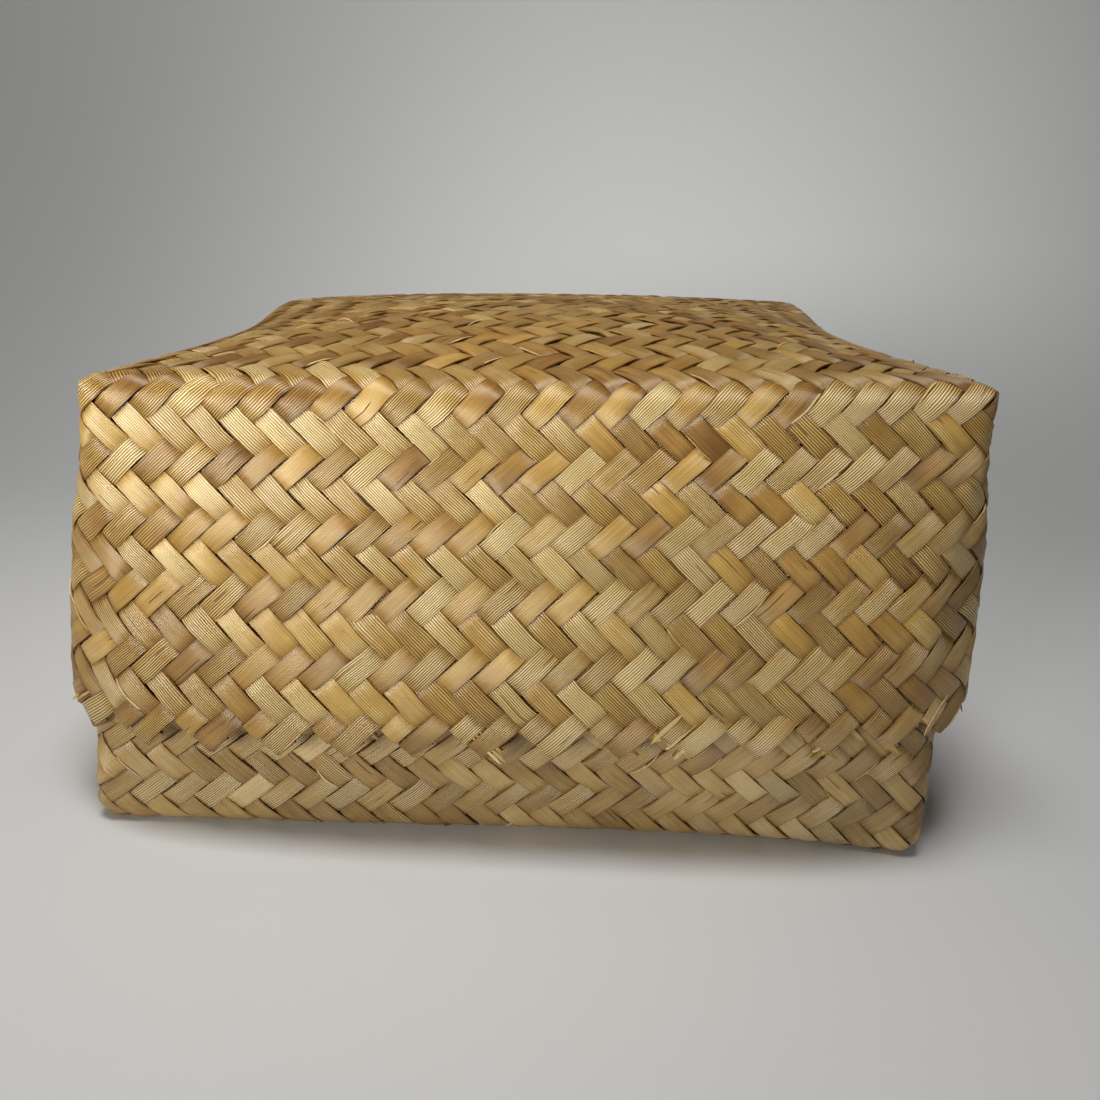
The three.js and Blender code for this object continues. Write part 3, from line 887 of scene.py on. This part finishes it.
class NodeTree:
    """Short ways to add nodes to a material: values, sums and stretched noise."""

    def __init__(self, name):
        self.material = bpy.data.materials.new(name)
        self.material.use_nodes = True
        self.nodes = self.material.node_tree.nodes
        self.links = self.material.node_tree.links
        self.shader = self.nodes["Principled BSDF"]

    def add(self, kind, inputs=(), **settings):
        made = self.nodes.new(kind)
        for key, value in settings.items():
            setattr(made, key, value)
        for key, value in dict(inputs).items():
            self.feed(made.inputs[key], value)
        return made

    def feed(self, socket, value):
        if isinstance(value, bpy.types.NodeSocket):
            self.links.new(value, socket)
        else:
            socket.default_value = value

    def math(self, operation, *values, clamp=False):
        made = self.add(
            "ShaderNodeMath", enumerate(values), operation=operation, use_clamp=clamp
        )
        return made.outputs[0]

    def total(self, first, *scaled):
        """A sum of a first value and of others, each times its factor."""
        for value, factor in scaled:
            first = self.math("MULTIPLY_ADD", value, factor, first)
        return first

    def limited(self, value, low, high):
        return self.math("MAXIMUM", self.math("MINIMUM", value, high), low)

    def attribute(self, key):
        return self.add("ShaderNodeAttribute", attribute_name=key).outputs["Fac"]

    def noise(self, u, v, seed, per_mm_along, per_mm_across, detail):
        along = self.math("MULTIPLY", u, per_mm_along)
        across = self.math("MULTIPLY", v, per_mm_across)
        layer = self.math("MULTIPLY", seed, SEED_SPREAD)
        place = self.add("ShaderNodeCombineXYZ", {0: along, 1: across, 2: layer})
        settings = {"Vector": place.outputs[0], "Scale": 1.0, "Detail": detail}
        made = self.add("ShaderNodeTexNoise", settings)
        return self.math("SUBTRACT", made.outputs["Fac"], 0.5)

    def ramp(self, value, colours):
        made = self.add("ShaderNodeValToRGB", {0: value})
        elements = made.color_ramp.elements
        for i, colour in enumerate(colours):
            place = i / (len(colours) - 1)
            element = elements[i] if i < 2 else elements.new(place)
            element.position = place
            element.color = (*colour, 1.0)
        return made.outputs[0]


def straw_material(name, golden, rosy, roughness):
    """Split, dried strip: lengthwise ribs and fibres, streaks and stains of tone, and a gloss."""
    tree = NodeTree(name)
    strip_map = tree.add("ShaderNodeUVMap", uv_map="strip").outputs[0]
    place = tree.add("ShaderNodeSeparateXYZ", {0: strip_map})
    u, v = place.outputs[0], place.outputs[1]
    seed, tone = tree.attribute("seed"), tree.attribute("tone")
    ribbing, blush = tree.attribute("ribbing"), tree.attribute("blush")
    effects = {key: tree.noise(u, v, seed, *scales) for key, scales in NOISES.items()}
    waver = effects["waver"]

    def with_effects(first, parts):
        return tree.total(first, *((effects[key], factor) for key, factor in parts.items()))

    # Ribs: fine lengthwise cords, strong on most strips and faint on the smooth ones. In the tone
    # their grooves are painted shade, and ribbed strips are paler as a painted highlight on their
    # ridges
    phase = tree.math("MULTIPLY", v, tree.attribute("ribs"))
    phase = tree.total(phase, (waver, RIB_WAVER), (seed, RIB_START))
    groove = tree.math("MULTIPLY_ADD", tree.math("SINE", phase), 0.5, 0.5)
    groove = tree.math("POWER", groove, GROOVE_SHARPNESS)
    strength = tree.math("MULTIPLY_ADD", ribbing, *RIB_STRENGTH)
    strength = tree.total(strength, (effects["blotches"], RIB_BLOTCHES))
    strength = tree.limited(strength, *RIB_STRENGTH_LIMITS)
    effects["strength"] = strength
    effects["grooves"] = tree.math("MULTIPLY", groove, strength)

    # A strip cracks along its fibres here and there, on a line of its own
    own_place = tree.math("FRACT", tree.math("MULTIPLY", seed, CRACK_SEEDS))
    own_line = tree.math("MULTIPLY_ADD", own_place, 2 * CRACK_REACH, -CRACK_REACH)
    off_line = tree.math("SUBTRACT", tree.total(v, (waver, CRACK_WAVER)), own_line)
    off_line = tree.math("MULTIPLY", tree.math("ABSOLUTE", off_line), 1 / CRACK_HALF_WIDTH)
    crack = tree.math("SUBTRACT", 1.0, off_line, clamp=True)
    opened = tree.noise(u, blush, seed, *CRACK_NOISE)
    opened = tree.math("MULTIPLY_ADD", opened, *CRACK_OPENING, clamp=True)
    effects["crack"] = tree.math("MULTIPLY", crack, opened)

    # Painted shade along the strip's edges, and stains in spots
    off_middle = tree.math("MULTIPLY", tree.math("ABSOLUTE", v), 1 / STRIP_HALF_WIDTH)
    effects["painted_edge_shade"] = tree.math("POWER", off_middle, EDGE_SHARPNESS)
    stained = tree.math("SUBTRACT", effects["stains"], STAINED_FROM)
    effects["dark"] = tree.math("MAXIMUM", stained, 0.0)

    mixed = tree.limited(with_effects(tone, TONE_PARTS), 0.0, 1.0)
    warm = with_effects(tree.math("MULTIPLY_ADD", blush, *WARMTH_FROM_BLUSH), WARMTH_PARTS)
    colour = tree.add("ShaderNodeMix", {0: tree.limited(warm, 0.0, 1.0)}, data_type="RGBA")
    tree.links.new(tree.ramp(mixed, golden), colour.inputs["A"])
    tree.links.new(tree.ramp(mixed, rosy), colour.inputs["B"])
    tree.links.new(colour.outputs["Result"], tree.shader.inputs["Base Color"])

    height = tree.math("MULTIPLY", effects["fibres"], HEIGHT_FROM_FIBRES)
    relief = {"Strength": 1.0, "Distance": RIB_DEPTH * MM}
    bump = tree.add("ShaderNodeBump", {**relief, "Height": with_effects(height, HEIGHT_PARTS)})
    tree.links.new(bump.outputs[0], tree.shader.inputs["Normal"])
    gloss = tree.math("MULTIPLY_ADD", strength, ROUGHNESS_FROM_STRENGTH, roughness)
    tree.links.new(with_effects(gloss, ROUGHNESS_PARTS), tree.shader.inputs["Roughness"])
    tangent = tree.add("ShaderNodeTangent", direction_type="UV_MAP", uv_map="strip")
    tree.links.new(tangent.outputs[0], tree.shader.inputs["Tangent"])
    for key, value in STRAW_SHEEN.items():
        tree.shader.inputs[key].default_value = value
    return tree.material


def add_piece(name, mesh, material, body):
    mesh.materials.append(material)
    piece = bpy.data.objects.new(name, mesh)
    bpy.context.scene.collection.objects.link(piece)
    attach(piece, body)
    return piece


def fraying(strip, edge, place):
    """How likely a strip's folded end is to be frayed: most at the lid's front right corner."""
    points, _ = strip.shell.lattice_to_surface(edge, *(np.array([v]) for v in place))
    far = math.hypot(points[0, 0] - LID_HALF_X, points[0, 1] + LID_HALF_Y)
    return FRAYED_FAR + FRAYED_NEAR * float(smooth(1 - far / FRAYED_REACH))


def plait(shell, panel, material, tones, rng):
    """Every strip of one shell, its own piece, in place of the panel, walls and folds it forms."""
    reach = (STRIPS_WIDE + STRIPS_DEEP) // 2
    offsets = [(rising, i + 0.5) for rising in (True, False) for i in range(-reach, reach)]
    fibres, fibre_rng = Fibres(), np.random.default_rng(FIBRE_SEED)
    for count, (rising, offset) in enumerate(offsets, 1):
        strip = Strip(shell, rising, offset)
        name = f"{shell.name}_strip_{count:02d}"
        mesh, course = strip_mesh(strip, rng, name, rng.uniform(*tones))
        split_edges(fibres, strip, course, fibre_rng, SPLIT_OFTEN)
        if shell.is_lid:
            ends = ((strip.start_edge, course.w[0]), (strip.end_edge, course.w[-1]))
            for edge, w_end in ends:
                at = [strip.start[i] + w_end * strip.direction[i] for i in (0, 1)]
                if fibre_rng.random() < fraying(strip, edge, at):
                    fray_fold(fibres, strip, course, fibre_rng, w_end > 0)
        piece = add_piece(name, mesh, material, shell.name)
        walls = sorted({strip.start_edge, strip.end_edge})
        formed = [f"{shell.name}_{wall}_{part}" for wall in walls for part in ("wall", "rim_fold")]
        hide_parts(f"{shell.name}_{panel}", *formed)
    name = f"{shell.name}_split_fibres"
    add_piece(name, fibres.mesh(name), material, shell.name)


def ground_and_backdrop():
    """A pale cloth-coloured floor that curves up into a backdrop behind the box."""
    outline = [(BACKDROP_FRONT, 0.0), (BACKDROP_BACK, 0.0)]
    for i in range(1, BEND_STEPS + 1):
        angle = math.pi / 2 * i / BEND_STEPS
        y = BACKDROP_BACK + BACKDROP_BEND * math.sin(angle)
        outline.append((y, BACKDROP_BEND * (1 - math.cos(angle))))
    outline.append((BACKDROP_BACK + BACKDROP_BEND, BACKDROP_HEIGHT))
    sides = (-BACKDROP_HALF_WIDTH, BACKDROP_HALF_WIDTH)
    vertices = [(x, y, z) for y, z in outline for x in sides]
    faces = [(2 * i, 2 * i + 1, 2 * i + 3, 2 * i + 2) for i in range(len(outline) - 1)]
    mesh = bpy.data.meshes.new("backdrop")
    mesh.from_pydata(vertices, [], faces)
    mesh.shade_smooth()
    material = bpy.data.materials.new("backdrop_cloth")
    material.use_nodes = True
    shader = material.node_tree.nodes["Principled BSDF"]
    shader.inputs["Base Color"].default_value = (*BACKDROP_COLOUR, 1.0)
    shader.inputs["Roughness"].default_value = BACKDROP_ROUGHNESS
    shader.inputs["Specular IOR Level"].default_value = BACKDROP_SPECULAR
    mesh.materials.append(material)
    floor = bpy.data.objects.new("backdrop", mesh)
    bpy.context.scene.collection.objects.link(floor)


def area_lamp(name, place, target, power, colour, spread):
    light = bpy.data.lights.new(name, "AREA")
    light.shape = "RECTANGLE"
    light.size, light.size_y = LAMP_SIZE
    light.energy = power
    light.color = colour
    light.spread = math.radians(spread)
    lamp = bpy.data.objects.new(name, light)
    lamp.location = place
    aim = Vector(target) - Vector(place)
    lamp.rotation_euler = aim.to_track_quat("-Z", "Y").to_euler()
    lamp.visible_camera = False
    bpy.context.scene.collection.objects.link(lamp)


def dim_world():
    """A faint, cool light from all round, so that no shadow is black."""
    world = bpy.data.worlds.new("studio")
    world.use_nodes = True
    background = world.node_tree.nodes["Background"]
    background.inputs["Color"].default_value = WORLD_COLOUR
    background.inputs["Strength"].default_value = WORLD_STRENGTH
    bpy.context.scene.world = world


def camera():
    """The photograph's own view, from a camera fitted to the box's corners, rows and teeth."""
    data = bpy.data.cameras.new("camera")
    data.sensor_width = SENSOR_WIDTH
    data.lens = CAMERA_FOCAL_PX / IMAGE_SIDE_PX * data.sensor_width
    view = bpy.data.objects.new("camera", data)
    pitch, yaw, roll = (math.radians(a) for a in CAMERA_TURNS)
    ahead = math.cos(pitch)
    forward = Vector((math.sin(yaw) * ahead, math.cos(yaw) * ahead, -math.sin(pitch)))
    level = Vector((math.cos(yaw), -math.sin(yaw), 0.0))
    upright = level.cross(forward)
    right = level * math.cos(roll) + upright * math.sin(roll)
    up = upright * math.cos(roll) - level * math.sin(roll)
    turned = Matrix((right, up, -forward)).transposed()
    view.matrix_world = Matrix.Translation(Vector(CAMERA_PLACE) * MM) @ turned.to_4x4()
    bpy.context.scene.collection.objects.link(view)
    bpy.context.scene.camera = view


# Colours of the straw from dark to pale, of golden and of rosier strips, and its roughness
LID_ROUGHNESS = 0.52
BASE_ROUGHNESS = 0.54
LID_GOLDEN = [
    (0.161, 0.066, 0.008),
    (0.315, 0.16, 0.028),
    (0.464, 0.266, 0.053),
    (0.62, 0.4, 0.113),
    (0.784, 0.593, 0.272),
]
LID_ROSY = [
    (0.168, 0.067, 0.01),
    (0.323, 0.158, 0.032),
    (0.473, 0.263, 0.063),
    (0.62, 0.397, 0.138),
    (0.784, 0.583, 0.308),
]
BASE_GOLDEN = [
    (0.176, 0.088, 0.021),
    (0.332, 0.187, 0.053),
    (0.493, 0.301, 0.094),
    (0.656, 0.444, 0.17),
    (0.826, 0.626, 0.32),
]
BASE_ROSY = [
    (0.184, 0.089, 0.026),
    (0.346, 0.193, 0.065),
    (0.508, 0.308, 0.108),
    (0.672, 0.449, 0.194),
    (0.835, 0.631, 0.35),
]

camera()
ground_and_backdrop()
lid_straw = straw_material("lid_straw", LID_GOLDEN, LID_ROSY, LID_ROUGHNESS)
lid_rng = np.random.default_rng(LID_SEED)
plait(LID, "top_panel", lid_straw, LID_TONES, lid_rng)
base_straw = straw_material("base_straw", BASE_GOLDEN, BASE_ROSY, BASE_ROUGHNESS)
base_rng = np.random.default_rng(BASE_SEED)
plait(BASE, "floor", base_straw, BASE_TONES, base_rng)

for lamp_name, lamp in LAMPS.items():
    area_lamp(lamp_name, **lamp)
dim_world()
bpy.context.scene.view_settings.view_transform = "Standard"
